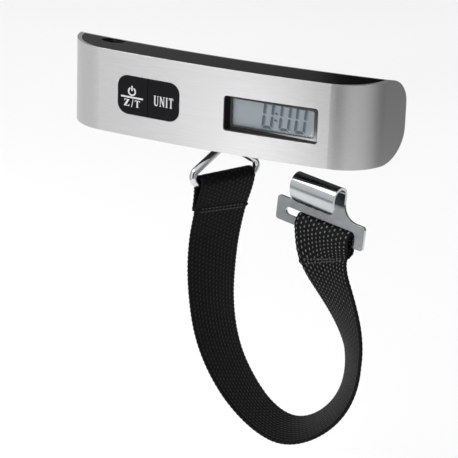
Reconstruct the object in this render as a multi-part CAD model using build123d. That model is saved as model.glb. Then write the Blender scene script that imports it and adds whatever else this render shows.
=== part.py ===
"""Hand-held digital luggage scale, modelled in millimetres.

Frame: X along the grip bar, -Y towards the display side, Z up. The origin is at mid height of the grip
bar, at the centre of its length, so the housing lies around it and the webbing strap hangs below.
The grip bar is bent in plan: its section is swept about a vertical axis far behind the front face.
"""
import os
from math import asin, ceil, cos, pi, radians, sin, sqrt, tan

from build123d import *
from numpy import interp

# ---------------------------------------------------------------- driving dimensions
# grip bar
HEIGHT = 32.0            # height of the housing
FRONT_Y = -8.3           # front face at mid length
BACK_Y = 15.5            # back face at mid length
PLAN_RADIUS = 545.0      # plan radius of the front face
TOP_BACK_RADIUS = 10.5   # rounding between the flat top and the back
LOW_BACK_RADIUS = 12.5   # rounding between the back and the underside
BEND_RADIUS = 18.5       # plan radius where the metal cover turns back at each end
BEND_CENTRE_X = 45.3     # where that turn starts, from mid length
BEND_END_DEG = 75.0      # direction of the cover after the turn
WING_END_Y = 20.5        # back end of the cover's wings
SKIN = 0.6               # sheet thickness of the metal cover
WALL = 1.8               # wall of the moulded housing
WING_EXTRA = 1.3         # extra thickness of the metal where it ends, reached through the turn
SWEEP_DEG = 9.0          # half angle that the section is swept through, past both ends
EXTRA = 3.0              # how far cutting solids reach past what they cut
FAR = 40.0               # far outside the housing, for cuts that go right through
NOTCH_X, NOTCH_Y, NOTCH_W, NOTCH_D = -47.0, 5.2, 9.6, 6.0
NOTCH_DEPTH = 0.9

# openings in the front face
WINDOW_X, WINDOW_Z = 24.3, -0.6
WINDOW_W, WINDOW_H, WINDOW_R = 36.8, 13.5, 1.2
BUTTONS_X, BUTTONS_Z = -25.4, -0.1
BUTTONS_W, BUTTONS_H, BUTTONS_R = 26.2, 15.0, 4.3
BUTTON_GAP = 0.2         # clearance round and between the two caps
BUTTON_PROUD = 0.35      # height of the caps above the metal
BUTTON_TRAVEL = 0.5
FRAME_T = 1.4            # carrier bonded behind the metal front
FLANGE_DEPTH = SKIN + FRAME_T + 0.3
CAP_DEPTH = FLANGE_DEPTH + 0.9
SWITCH_X = {-1: BUTTONS_X - 6.6, 1: BUTTONS_X + 6.6}
SWITCH_W, PLUNGER_R = 5.0, 1.2

# electronics
BOARD_Y = -1.6           # front face of the circuit board
BOARD_T = 1.2
BOARD_X0, BOARD_X1, BOARD_H = -43.0, 44.5, 23.0
LCD_DEPTH = 3.6          # front of the display glass below the metal
LCD_T = 1.8
LENS_T = 0.5
LEDGE_T = 0.6            # inner ledge of the bezel in front of the lens
PANEL_W = 36.4
PANEL_LOW, PANEL_TOP = -8.3, 7.0
PANEL_STEP = 1.1         # height of the back plate's terminals below the front plate
ZEBRA_W, ZEBRA_H = 34.0, 1.4
CHIP_X, CHIP_Z, CHIP_R0, CHIP_R1, CHIP_T = 14.0, 6.5, 3.6, 2.8, 1.2
CELL_X, CELL_Z = -47.0, 0.5
CELL_R, CELL_T = 10.0, 3.2
DOOR_W, DOOR_TOP, DOOR_LOW = 25.0, 11.5, -11.0
DOOR_GAP = 0.2
DOOR_FRONT = 8.0         # the door is all of the back wall behind this
GROOVES_Z = (3.6, 5.2, 6.8)    # finger grooves across the door
GROOVE_W, GROOVE_H, GROOVE_DEPTH = 11.0, 0.7, 0.5

# load path
PULL_X, PULL_Y = 1.6, 4.0
LOAD_CELL_L, LOAD_CELL_W, LOAD_CELL_H = 40.0, 8.0, 7.0
LOAD_CELL_Z = -4.0       # middle of the load cell
LOAD_END = 5.0           # load cell past the pull axis
LOAD_POSTS_X = (PULL_X - LOAD_CELL_L + 9.0, PULL_X - LOAD_CELL_L + 19.0)
LOAD_POST_HALF = 3.4
LOAD_HOLE_R = 1.35
WAIST_X = PULL_X + LOAD_END - LOAD_CELL_L / 2 + 4.0
WAIST_DX, WAIST_R = 3.6, 2.5    # the two bores that thin the load cell
GAUGE_L, GAUGE_W, GAUGE_T = 4.8, 4.4, 0.2
PLATE_T = 1.5
STUD_R = 2.0
EYE_Z = -16.8            # axis of the eye that carries the ring
EYE_R, EYE_HOLE_R, EYE_T = 3.2, 1.9, 2.0
COLLAR_R, COLLAR_HOLE_R, COLLAR_T = 7.5, 5.6, 3.0
WASHER_R, WASHER_T = 4.0, 0.8
NUT_R, NUT_T = 3.9, 3.0

# ring, strap and latch hook
WIRE_R = 1.5
RING_YAW = 62.0          # direction of the ring's bar in plan
RING_BAR_Z = -30.3
RING_CORNER_X = 22.0     # where the sides would meet if the corners were sharp
RING_CORNER_R = 3.0
RING_APEX_R = 3.0
STRAP_W, STRAP_T = 25.0, 1.4
STRAP_CLEAR = 0.3        # free space between webbing and the metal it is folded round
HEM = 8.5                # length of the doubled webbing under each fold
HEM_PROUD = 0.06         # the doubled hem stands this much proud of the single webbing
BEND_SET_BACK = STRAP_T / 2 + 0.3    # each half of the webbing stops this far from the bend's hinge
STRAP_SLIDE = 2.6        # how far the webbing sits off the middle of the hook's bar
SLIDE_RUN, SLIDE_END = 34.0, 5.0     # where that starts and is complete, from the bar
HOOK_YAW, HOOK_TILT = -14.0, -5.0
HOOK_X, HOOK_Y, HOOK_Z = 41.0, 4.0, -44.0    # middle of the bar that the webbing is folded round
HOOK_W, HOOK_T = 40.5, 1.0
HOOK_BAR, HOOK_SLOT, HOOK_TOP = 3.0, 3.2, 3.4
SLOT_W = 32.0
TONGUE_W = 20.0
TONGUE_RISE = 9.0        # straight height of the tongue above the plate
TONGUE_FOLD_R = 3.8      # inside of the fold plus half the sheet
LIP_DROP, LIP_R = 7.0, 11.0
LIP_CORNER_R = 3.0
PLATE_CORNER_R = 1.2
SHOULDER_R = 6.0

# webbing from ring to latch hook: centre line (x, z) in the plane y = PULL_Y, and the way its width points
STRAP_ROUTE = [(PULL_X, RING_BAR_Z, RING_YAW), (-1.4, -51.0, 64.0), (-2.6, -70.0, 70.0), (-0.5, -90.0, 78.0),
               (10.5, -113.5, 88.0), (31.0, -127.0, 100.0), (50.5, -115.0, 112.0), (56.8, -91.5, 125.0),
               (48.2, -67.0, 150.0), (HOOK_X, -53.0, 163.0), (HOOK_X, HOOK_Z, HOOK_YAW + 180.0)]
STRAP_LOW = 5            # index of the lowest point, where the webbing's bend is hinged
STATION_STEP = 9.0       # spacing of the sections along the webbing

# screws
SCREW_HEAD_R, SCREW_R = 2.1, 1.1     # room for the head, and the hole
HEAD_R, HEAD_T, SHANK_R = 1.9, 1.2, 0.85
RECESS_L, RECESS_W, RECESS_DEPTH = 2.2, 0.5, 0.5
SCREW_SINK = 3.7         # case screws' seats below the back
CASE_SCREWS = [(-11.0, 10.8), (-11.0, -10.8), (33.0, 10.8), (33.0, -10.8)]
BOARD_SCREWS = [(-7.0, 6.5), (-2.0, -9.6)]


# ---------------------------------------------------------------- shared shapes
def block(x0, x1, y0, y1, z0, z1):
    """Box between two corners."""
    return Pos((x0 + x1) / 2, (y0 + y1) / 2, (z0 + z1) / 2) * Box(x1 - x0, y1 - y0, z1 - z0)


def rod_y(x, z, radius, y0, y1):
    """Cylinder along Y."""
    return Pos(x, (y0 + y1) / 2, z) * Rot(90, 0, 0) * Cylinder(radius, y1 - y0)


def rod_z(x, y, radius, z0, z1):
    """Cylinder along Z."""
    return Pos(x, y, (z0 + z1) / 2) * Cylinder(radius, z1 - z0)


def face_y(x, inset=0.0):
    """Y of the curved front at x, a given depth below the metal."""
    radius = PLAN_RADIUS - inset
    return FRONT_Y + PLAN_RADIUS - sqrt(radius ** 2 - x ** 2)


def plan_outline(inset):
    """Closed plan of the grip bar, a given depth inside the metal cover's outer face."""
    centre_y = FRONT_Y + PLAN_RADIUS
    front_r = PLAN_RADIUS - inset
    bend_r = BEND_RADIUS - inset
    reach = PLAN_RADIUS - BEND_RADIUS
    bend_x = BEND_CENTRE_X - (WING_EXTRA if inset else 0.0)
    bend_y = centre_y - sqrt(reach ** 2 - bend_x ** 2)
    turn = asin(bend_x / reach)
    end = radians(BEND_END_DEG)

    def on_bend(side, angle):
        return (side * (bend_x + bend_r * sin(angle)), bend_y - bend_r * cos(angle))

    def wing_end(side):
        x, y = on_bend(side, end)
        return (x + side * (WING_END_Y - y) / tan(end), WING_END_Y)

    middle = (turn + end) / 2
    tangent = {side: (side * front_r * sin(turn), centre_y - front_r * cos(turn)) for side in (-1, 1)}
    edges = [ThreePointArc(tangent[-1], (0, centre_y - front_r), tangent[1])]
    for side in (-1, 1):
        edges.append(ThreePointArc(tangent[side], on_bend(side, middle), on_bend(side, end)))
        edges.append(Line(on_bend(side, end), wing_end(side)))
    edges.append(Line(wing_end(-1), wing_end(1)))
    return make_face(Wire(edges))


def plan_block(inset):
    """The plan outline as a block taller than the housing."""
    return Pos(0, 0, -HEIGHT) * extrude(plan_outline(inset), 2 * HEIGHT)


def swept_section(inset, front_y):
    """D-shaped section of the grip bar, swept along its bent length."""
    half = HEIGHT / 2 - inset
    back = BACK_Y - inset
    top_r = TOP_BACK_RADIUS - inset
    low_r = LOW_BACK_RADIUS - inset
    slant = sqrt(0.5)
    with BuildSketch(Plane.YZ) as section:
        with BuildLine():
            Line((front_y, -half), (front_y, half))
            Line((front_y, half), (back - top_r, half))
            ThreePointArc((back - top_r, half),
                          (back - top_r + top_r * slant, half - top_r + top_r * slant),
                          (back, half - top_r))
            Line((back, half - top_r), (back, -half + low_r))
            ThreePointArc((back, -half + low_r),
                          (back - low_r + low_r * slant, -half + low_r - low_r * slant),
                          (back - low_r, -half))
            Line((back - low_r, -half), (front_y, -half))
        make_face()
    axis = Axis((0, FRONT_Y + PLAN_RADIUS, 0), (0, 0, 1))
    bar = revolve(section.sketch, axis, 2 * SWEEP_DEG)
    return bar.rotate(axis, -SWEEP_DEG)


def rounded_plug(x, z, width, height, radius, y0, y1):
    """Rounded rectangle seen from the front, extruded from y0 to y1."""
    outline = Plane((x, y0, z), x_dir=(1, 0, 0), z_dir=(0, -1, 0)) * RectangleRounded(width, height, radius)
    return extrude(outline, -(y1 - y0))


def arc_slab(inset0, inset1, x0, x1, z0, z1):
    """Slab that follows the curved front between two depths."""
    axis_y = FRONT_Y + PLAN_RADIUS
    outer = rod_z(0, axis_y, PLAN_RADIUS - inset0, z0, z1)
    inner = rod_z(0, axis_y, PLAN_RADIUS - inset1, z0, z1)
    return (outer - inner) & block(x0, x1, FRONT_Y - 1, FRONT_Y + 12, z0, z1)


# ---------------------------------------------------------------- housing
def front_shell():
    """Metal cover: front face and the two swept ends, with its two openings."""
    cover = plan_block(0) - plan_block(SKIN)
    cover = cover & swept_section(0, FRONT_Y - EXTRA)
    cover -= block(-80, 80, WING_END_Y - SKIN, WING_END_Y + EXTRA, -HEIGHT, HEIGHT)
    cover -= rounded_plug(WINDOW_X, WINDOW_Z, WINDOW_W, WINDOW_H, WINDOW_R, FRONT_Y - EXTRA, FRONT_Y + 8)
    cover -= rounded_plug(BUTTONS_X, BUTTONS_Z, BUTTONS_W, BUTTONS_H, BUTTONS_R,
                          FRONT_Y - EXTRA, FRONT_Y + 8)
    return cover


def battery_opening(grow):
    """Block that bounds the battery door, grown by a clearance."""
    half = DOOR_W / 2 + grow
    return block(CELL_X - half, CELL_X + half, DOOR_FRONT, FAR, DOOR_LOW - grow, DOOR_TOP + grow)


def housing_wall():
    """Moulded shell: top, back and underside, open to the front."""
    outer = plan_block(SKIN) & swept_section(0, FRONT_Y - EXTRA)
    cavity = plan_block(SKIN + WALL) & swept_section(WALL, FRONT_Y - 2 * EXTRA)
    front_mouth = plan_block(0) & block(-47, 47, FRONT_Y - 1, 0, -HEIGHT / 2 + WALL, HEIGHT / 2 - WALL)
    return outer - cavity - front_mouth


def thumb_notch():
    """Oval thumb notch in the top, above the battery door."""
    outline = Pos(NOTCH_X, NOTCH_Y, HEIGHT / 2 - NOTCH_DEPTH) * Ellipse(NOTCH_W / 2, NOTCH_D / 2)
    return extrude(outline, 2 * NOTCH_DEPTH)


def rear_housing():
    """Black moulded housing with screw posts, load-cell posts and the openings cut in it."""
    shell = housing_wall()
    room = plan_block(SKIN + 0.5) & swept_section(0.5, FRONT_Y - EXTRA)
    for x, z in CASE_SCREWS:
        shell += rod_y(x, z, 3.0, 2.0, 30) & room
    for x in LOAD_POSTS_X:
        shell += block(x - LOAD_POST_HALF, x + LOAD_POST_HALF, PULL_Y - 4.2, PULL_Y + 4.2, -HEIGHT / 2 + 0.5,
                       LOAD_CELL_Z - LOAD_CELL_H / 2 - PLATE_T)
    for x, z in CASE_SCREWS:
        shell -= rod_y(x, z, SCREW_R + 0.1, 0, FAR)
        shell -= rod_y(x, z, SCREW_HEAD_R + 0.2, BACK_Y - SCREW_SINK, FAR)
    for x in LOAD_POSTS_X:
        shell -= rod_z(x, PULL_Y, SCREW_R, -HEIGHT / 2 + 3.0, LOAD_CELL_Z)
    shell -= rod_z(PULL_X, PULL_Y, COLLAR_R, -HEIGHT, -HEIGHT / 2 + 5)
    return shell - thumb_notch() - battery_opening(DOOR_GAP)


def battery_door():
    """Snap-off door: the piece of the housing's back wall over the battery, with finger grooves."""
    door = housing_wall() & battery_opening(0)
    back = face_y(CELL_X, BACK_Y - FRONT_Y)
    for z in GROOVES_Z:
        door -= block(CELL_X - GROOVE_W / 2, CELL_X + GROOVE_W / 2, back - GROOVE_DEPTH, FAR,
                      z - GROOVE_H / 2, z + GROOVE_H / 2)
    return door


def inner_frame():
    """Moulded carrier bonded behind the metal front, with the display seat and button guides."""
    frame = arc_slab(SKIN, SKIN + FRAME_T, -44, 46, -HEIGHT / 2 + WALL + 0.1, HEIGHT / 2 - WALL - 0.1)
    frame -= rounded_plug(WINDOW_X, WINDOW_Z, WINDOW_W + 3.2, WINDOW_H + 3.2, 1.5, -20, 5)
    frame -= rounded_plug(BUTTONS_X, BUTTONS_Z, BUTTONS_W + 0.8, BUTTONS_H + 0.8, BUTTONS_R, -20, 5)
    for x, z in CASE_SCREWS:
        post = rod_y(x, z + (0.6 if z > 0 else -0.6), 2.6, face_y(x, SKIN + FRAME_T) - 0.3, 1.9)
        post -= rod_y(x, z, SCREW_R, -5.5, 5)
        frame += post
    return frame


# ---------------------------------------------------------------- display
LCD_Y = face_y(WINDOW_X) + LCD_DEPTH    # front of the display glass


def lcd_bezel():
    """Black frame that lines the window and steps in towards the display glass."""
    body = rounded_plug(WINDOW_X, WINDOW_Z, WINDOW_W + 2.4, WINDOW_H + 2.0, 1.4, -20, 5)
    body = body & arc_slab(SKIN, LCD_DEPTH, 0, 50, -HEIGHT / 2, HEIGHT / 2)
    body = body & block(0, 50, -20, LCD_Y, -20, 20)
    ledge_y = LCD_Y - LENS_T - LEDGE_T
    throat = rounded_plug(WINDOW_X, WINDOW_Z, WINDOW_W - 0.6, WINDOW_H - 0.6, 1.0, -20, ledge_y)
    sight = rounded_plug(WINDOW_X, WINDOW_Z, WINDOW_W - 4.0, WINDOW_H - 3.2, 0.8, -20, 5)
    seat = rounded_plug(WINDOW_X, WINDOW_Z, WINDOW_W + 0.7, WINDOW_H + 0.7, 0.85, LCD_Y - LENS_T, 5)
    return body - throat - sight - seat


def lcd_lens():
    """Clear window over the display glass."""
    return rounded_plug(WINDOW_X, WINDOW_Z, WINDOW_W + 0.6, WINDOW_H + 0.6, 0.8, LCD_Y - LENS_T, LCD_Y)


def lcd_panel():
    """Display glass: a wide back plate and a shorter front plate."""
    x0, x1 = WINDOW_X - PANEL_W / 2, WINDOW_X + PANEL_W / 2
    middle = LCD_Y + LCD_T / 2
    back = block(x0, x1, middle, LCD_Y + LCD_T, PANEL_LOW, PANEL_TOP)
    return back + block(x0, x1, LCD_Y, middle, PANEL_LOW + PANEL_STEP, PANEL_TOP)


def zebra_connector():
    """Rubber strip connector between the display glass and the board."""
    return block(WINDOW_X - ZEBRA_W / 2, WINDOW_X + ZEBRA_W / 2, LCD_Y + LCD_T, BOARD_Y,
                 PANEL_LOW + 0.1, PANEL_LOW + 0.1 + ZEBRA_H)


# ---------------------------------------------------------------- buttons and board
def button_cap(side):
    """One half of the rounded button pair, with a flange behind the metal; side is -1 or 1."""
    whole = rounded_plug(BUTTONS_X, BUTTONS_Z, BUTTONS_W - 2 * BUTTON_GAP, BUTTONS_H - 2 * BUTTON_GAP,
                         BUTTONS_R - BUTTON_GAP, -20, 5)
    cap = whole & arc_slab(-BUTTON_PROUD, CAP_DEPTH, -60, 0, -HEIGHT / 2, HEIGHT / 2)
    flange = rounded_plug(BUTTONS_X, BUTTONS_Z, BUTTONS_W + 1.2, BUTTONS_H + 1.2, BUTTONS_R, -20, 5)
    cap += flange & arc_slab(FLANGE_DEPTH, CAP_DEPTH, -60, 0, -HEIGHT / 2, HEIGHT / 2)
    if side < 0:
        half = block(-70, BUTTONS_X - BUTTON_GAP / 2, -20, 10, -20, 20)
    else:
        half = block(BUTTONS_X + BUTTON_GAP / 2, 0, -20, 10, -20, 20)
    return cap & half


def tact_switch(side):
    """Square tact switch on the board, its plunger just behind the cap."""
    x = SWITCH_X[side]
    half = SWITCH_W / 2
    plunger_y = face_y(x) + CAP_DEPTH + BUTTON_TRAVEL + 0.1
    body = block(x - half, x + half, BOARD_Y - 1.0, BOARD_Y, BUTTONS_Z - half, BUTTONS_Z + half)
    return body + rod_y(x, BUTTONS_Z, PLUNGER_R, plunger_y, BOARD_Y - 0.5)


def circuit_board():
    """Board behind the display and the buttons."""
    half = BOARD_H / 2
    board = block(BOARD_X0, BOARD_X1, BOARD_Y, BOARD_Y + BOARD_T, -half, half)
    for x, z in BOARD_SCREWS:
        board -= rod_y(x, z, SCREW_R + 0.1, -10, 10)
    for x, z in CASE_SCREWS:
        board -= rod_y(x, z + (1.0 if z > 0 else -1.0), 3.6, -10, 10)
    return board


def controller_chip():
    """Potted controller die on the back of the board."""
    bottom = (Align.CENTER, Align.CENTER, Align.MIN)
    dome = Cone(CHIP_R0, CHIP_R1, CHIP_T, align=bottom)
    return Pos(CHIP_X, BOARD_Y + BOARD_T, CHIP_Z) * Rot(-90, 0, 0) * dome


def board_bosses():
    """Posts of the inner frame that carry the board."""
    return [rod_y(x, z, 2.2, face_y(x, SKIN + FRAME_T) - 0.2, BOARD_Y) - rod_y(x, z, SHANK_R, -6, 5)
            for x, z in BOARD_SCREWS]


def pan_screw_y(x, z, head_y, length):
    """Screw pointing along -Y, its pan head seated at head_y."""
    top = head_y + HEAD_T
    screw = rod_y(x, z, HEAD_R, head_y, top) + rod_y(x, z, SHANK_R, head_y - length, head_y)
    long, short = RECESS_L / 2, RECESS_W / 2
    cross = block(x - long, x + long, top - RECESS_DEPTH, top + 1, z - short, z + short)
    cross += block(x - short, x + short, top - RECESS_DEPTH, top + 1, z - long, z + long)
    return screw - cross


def board_screws():
    """Screws that hold the board to the inner frame."""
    return [pan_screw_y(x, z, BOARD_Y + BOARD_T, 2.9) for x, z in BOARD_SCREWS]


def case_screws():
    """Screws from the back, through the housing posts into the inner frame."""
    return [pan_screw_y(x, z, BACK_Y - SCREW_SINK, 12.5) for x, z in CASE_SCREWS]


# ---------------------------------------------------------------- battery
def cell_back_y():
    """Back face of the coin cell, just inside the door."""
    return BACK_Y - WALL - 0.9


def battery_cell():
    """Coin cell, its smaller negative cap towards the front."""
    back = cell_back_y()
    can = rod_y(CELL_X, CELL_Z, CELL_R, back - CELL_T + 0.5, back)
    cap = rod_y(CELL_X, CELL_Z, CELL_R - 1.3, back - CELL_T, back - CELL_T + 0.5)
    return can + cap


def battery_holder():
    """Moulded cup round the coin cell."""
    back = cell_back_y()
    cup = rod_y(CELL_X, CELL_Z, CELL_R + 1.5, back - CELL_T - 2.2, back - 0.3)
    cup -= rod_y(CELL_X, CELL_Z, CELL_R + 0.2, back - CELL_T - 0.8, back + 1)
    cup -= block(CELL_X - 3.2, CELL_X + 3.2, -10, 30, CELL_Z + 6.0, CELL_Z + 16)
    return cup


def battery_contact_negative():
    """Leaf under the cell's negative cap."""
    front = cell_back_y() - CELL_T
    return block(CELL_X - 4.5, CELL_X + 4.5, front - 0.55, front - 0.15, CELL_Z - 2.0, CELL_Z + 2.0)


def battery_contact_positive():
    """Clip that bears on the cell's can through the gap in the cup."""
    back = cell_back_y()
    z0 = CELL_Z + CELL_R + 0.25
    leaf = block(CELL_X - 2.5, CELL_X + 2.5, back - CELL_T - 1.5, back - 0.5, z0, z0 + 0.4)
    return leaf


# ---------------------------------------------------------------- load path
def load_cell():
    """Aluminium bending beam: two screw holes at the fixed end, a thinned waist, a bore for the stud."""
    x1 = PULL_X + LOAD_END
    half = LOAD_CELL_H / 2
    beam = block(x1 - LOAD_CELL_L, x1, PULL_Y - LOAD_CELL_W / 2, PULL_Y + LOAD_CELL_W / 2,
                 LOAD_CELL_Z - half, LOAD_CELL_Z + half)
    for dx in (-WAIST_DX, WAIST_DX):
        beam -= rod_y(WAIST_X + dx, LOAD_CELL_Z, WAIST_R, -10, 20)
    beam -= block(WAIST_X - WAIST_DX, WAIST_X + WAIST_DX, -10, 20, LOAD_CELL_Z - 1.2, LOAD_CELL_Z + 1.2)
    for x in LOAD_POSTS_X:
        beam -= rod_z(x, PULL_Y, LOAD_HOLE_R, -30, 30)
    return beam - rod_z(PULL_X, PULL_Y, STUD_R + 0.05, -30, 30)


def strain_gauges():
    """Foil gauges over and under the waist."""
    half = LOAD_CELL_H / 2
    pads = []
    for x in (WAIST_X - WAIST_DX, WAIST_X + WAIST_DX):
        for z0 in (LOAD_CELL_Z + half, LOAD_CELL_Z - half - GAUGE_T):
            pads.append(block(x - GAUGE_L / 2, x + GAUGE_L / 2, PULL_Y - GAUGE_W / 2, PULL_Y + GAUGE_W / 2,
                              z0, z0 + GAUGE_T))
    return pads


def load_plate():
    """Steel plate between the housing posts and the fixed end of the load cell."""
    top = LOAD_CELL_Z - LOAD_CELL_H / 2
    x0, x1 = LOAD_POSTS_X[0] - 6.0, LOAD_POSTS_X[1] + LOAD_POST_HALF
    plate = block(x0, x1, PULL_Y - 4.2, PULL_Y + 4.2, top - PLATE_T, top)
    for x in LOAD_POSTS_X:
        plate -= rod_z(x, PULL_Y, LOAD_HOLE_R, -30, 30)
    return plate


def load_cell_screws():
    """Screws through the load cell's fixed end into the housing posts."""
    screws = []
    top = LOAD_CELL_Z + LOAD_CELL_H / 2
    for x in LOAD_POSTS_X:
        screw = rod_z(x, PULL_Y, 2.4, top, top + 1.6) + rod_z(x, PULL_Y, 1.05, -HEIGHT / 2 + 3.2, top)
        slot = block(x - 1.6, x + 1.6, PULL_Y - 0.3, PULL_Y + 0.3, top + 1.0, top + 2)
        screws.append(screw - slot)
    return screws


def bottom_collar():
    """Ring set into the underside round the pull stud."""
    collar = rod_z(PULL_X, PULL_Y, COLLAR_R, -HEIGHT / 2, -HEIGHT / 2 + COLLAR_T)
    collar = collar & swept_section(0, FRONT_Y - EXTRA)
    return collar - rod_z(PULL_X, PULL_Y, COLLAR_HOLE_R, -30, 0)


def in_ring_frame(shape):
    """Turn a shape built with its bar along X about the pull axis, into the ring's direction."""
    return Pos(PULL_X, PULL_Y, 0) * Rot(0, 0, RING_YAW) * shape


def pull_stud():
    """Stud through the load cell, with a flat eye at its foot."""
    eye = Pos(0, 0, EYE_Z) * Rot(0, 90, 0) * Cylinder(EYE_R, EYE_T)
    neck = block(-EYE_T / 2, EYE_T / 2, -EYE_R, EYE_R, EYE_Z, EYE_Z + 5.0)
    shoulder = rod_z(0, 0, 3.4, EYE_Z + 5.0, EYE_Z + 6.5)
    shank = rod_z(0, 0, STUD_R, EYE_Z + 6.5, LOAD_CELL_Z + LOAD_CELL_H / 2 + 5.0)
    stud = eye + neck + shoulder + shank
    stud -= Pos(0, 0, EYE_Z) * Rot(0, 90, 0) * Cylinder(EYE_HOLE_R, 4 * EYE_T)
    return in_ring_frame(stud)


def stud_washer():
    """Washer between load cell and nut."""
    top = LOAD_CELL_Z + LOAD_CELL_H / 2 + 0.05
    washer = rod_z(PULL_X, PULL_Y, WASHER_R, top, top + WASHER_T)
    return washer - rod_z(PULL_X, PULL_Y, STUD_R, -30, 30)


def stud_nut():
    """Hexagon nut that carries the load from the stud."""
    base = LOAD_CELL_Z + LOAD_CELL_H / 2 + 0.05 + WASHER_T
    nut = Pos(PULL_X, PULL_Y, base) * extrude(RegularPolygon(NUT_R, 6), NUT_T)
    return nut - rod_z(PULL_X, PULL_Y, STUD_R, -30, 30)


def ring():
    """Rounded triangle of round wire, its apex through the eye and its long side level."""
    rise = EYE_Z - RING_BAR_Z
    apex = rise
    for _ in range(20):
        apex = rise + RING_APEX_R * (sqrt(apex ** 2 + RING_CORNER_X ** 2) / RING_CORNER_X - 1)
    path = Plane.XZ * FilletPolyline((-RING_CORNER_X, RING_BAR_Z), (RING_CORNER_X, RING_BAR_Z),
                                     (0, RING_BAR_Z + apex), close=True,
                                     radius=[RING_CORNER_R, RING_CORNER_R, RING_APEX_R])
    section = Plane(origin=path @ 0, z_dir=path % 0) * Circle(WIRE_R)
    return in_ring_frame(sweep(section, path=path))


# ---------------------------------------------------------------- webbing
def strap_curve():
    """Centre line of the webbing."""
    tilt = radians(-HOOK_TILT)
    hook_end = Vector(sin(tilt) * cos(radians(HOOK_YAW)), sin(tilt) * sin(radians(HOOK_YAW)), cos(tilt))
    return Spline([Vector(x, PULL_Y, z) for x, z, yaw in STRAP_ROUTE], tangents=[Vector(0, 0, -1), hook_end])


CURVE = strap_curve()
ROUTE_AT = [CURVE.param_at_point(Vector(x, PULL_Y, z)) * CURVE.length for x, z, yaw in STRAP_ROUTE]
BEND_AT = ROUTE_AT[STRAP_LOW]


def strap_slide(at):
    """Sideways shift of the webbing, taken up smoothly as it nears the hook's bar."""
    t = interp(at, [CURVE.length - SLIDE_RUN, CURVE.length - SLIDE_END], [0, 1])
    return -STRAP_SLIDE * t * t * (3 - 2 * t)


def strap_section(at, thickness, offset):
    """Cross-section of the webbing at a distance along it, shifted off the centre line by an offset."""
    place = CURVE.position_at(at / CURVE.length)
    along = CURVE.tangent_at(at / CURVE.length)
    yaw = radians(interp(at, ROUTE_AT, [yaw for x, z, yaw in STRAP_ROUTE]))
    flat = Vector(cos(yaw), sin(yaw), 0)
    wide = (flat - along * flat.dot(along)).normalized()
    plane = Plane(origin=place, x_dir=wide, z_dir=along)
    return plane * Pos(strap_slide(at), offset) * Rectangle(STRAP_W, thickness)


def ribbon(start, end, thickness, offset):
    """Length of twisted webbing."""
    count = max(2, ceil(abs(end - start) / STATION_STEP) + 1)
    stops = [start + (end - start) * i / (count - 1) for i in range(count)]
    return loft([strap_section(at, thickness, offset) for at in stops], ruled=True)


def fold_sleeve(centre, direction, inner):
    """Webbing folded round a bar."""
    plane = Plane(origin=centre, z_dir=direction)
    tube = Cylinder(inner + STRAP_T, STRAP_W) - Cylinder(inner, 2 * STRAP_W)
    return plane * tube


def strap_ring_side():
    """Webbing from its fold round the ring to the bottom of the loop."""
    inner = WIRE_R + STRAP_CLEAR
    fold = fold_sleeve((PULL_X, PULL_Y, RING_BAR_Z), unit(RING_YAW, 0), inner)
    start = inner + STRAP_T / 2
    hem = ribbon(start, start + HEM, 2 * STRAP_T + HEM_PROUD, -STRAP_T / 2)
    return fold + hem + ribbon(start + HEM - 0.5, BEND_AT - BEND_SET_BACK, STRAP_T, 0)


def strap_hook_side():
    """Webbing from the bottom of the loop to its fold round the latch hook's bar."""
    inner = HOOK_BAR / 2 + STRAP_CLEAR + 0.1
    bar = unit(HOOK_YAW, HOOK_TILT)
    fold = fold_sleeve(Vector(HOOK_X, HOOK_Y, HOOK_Z) + bar * STRAP_SLIDE, bar, inner)
    end = CURVE.length - inner - STRAP_T / 2
    hem = ribbon(end - HEM, end, 2 * STRAP_T + HEM_PROUD, -STRAP_T / 2)
    return fold + hem + ribbon(BEND_AT + BEND_SET_BACK, end - HEM + 0.5, STRAP_T, 0)


# ---------------------------------------------------------------- latch hook
def unit(yaw_deg, tilt_deg):
    """Unit vector from its direction in plan and its slope."""
    yaw, tilt = radians(yaw_deg), radians(tilt_deg)
    return Vector(cos(yaw) * cos(tilt), sin(yaw) * cos(tilt), sin(tilt))


def lip_corner(side, low):
    """What is cut away to round one lower corner of the lip, in the plate's own frame."""
    inside = TONGUE_W / 2 - LIP_CORNER_R
    x0, x1 = sorted((side * inside, side * TONGUE_W))
    corner = block(x0, x1, low - LIP_CORNER_R, low + LIP_CORNER_R, TONGUE_FOLD_R, FAR)
    return corner - rod_z(side * inside, low + LIP_CORNER_R, LIP_CORNER_R, 0, 2 * FAR)


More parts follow.
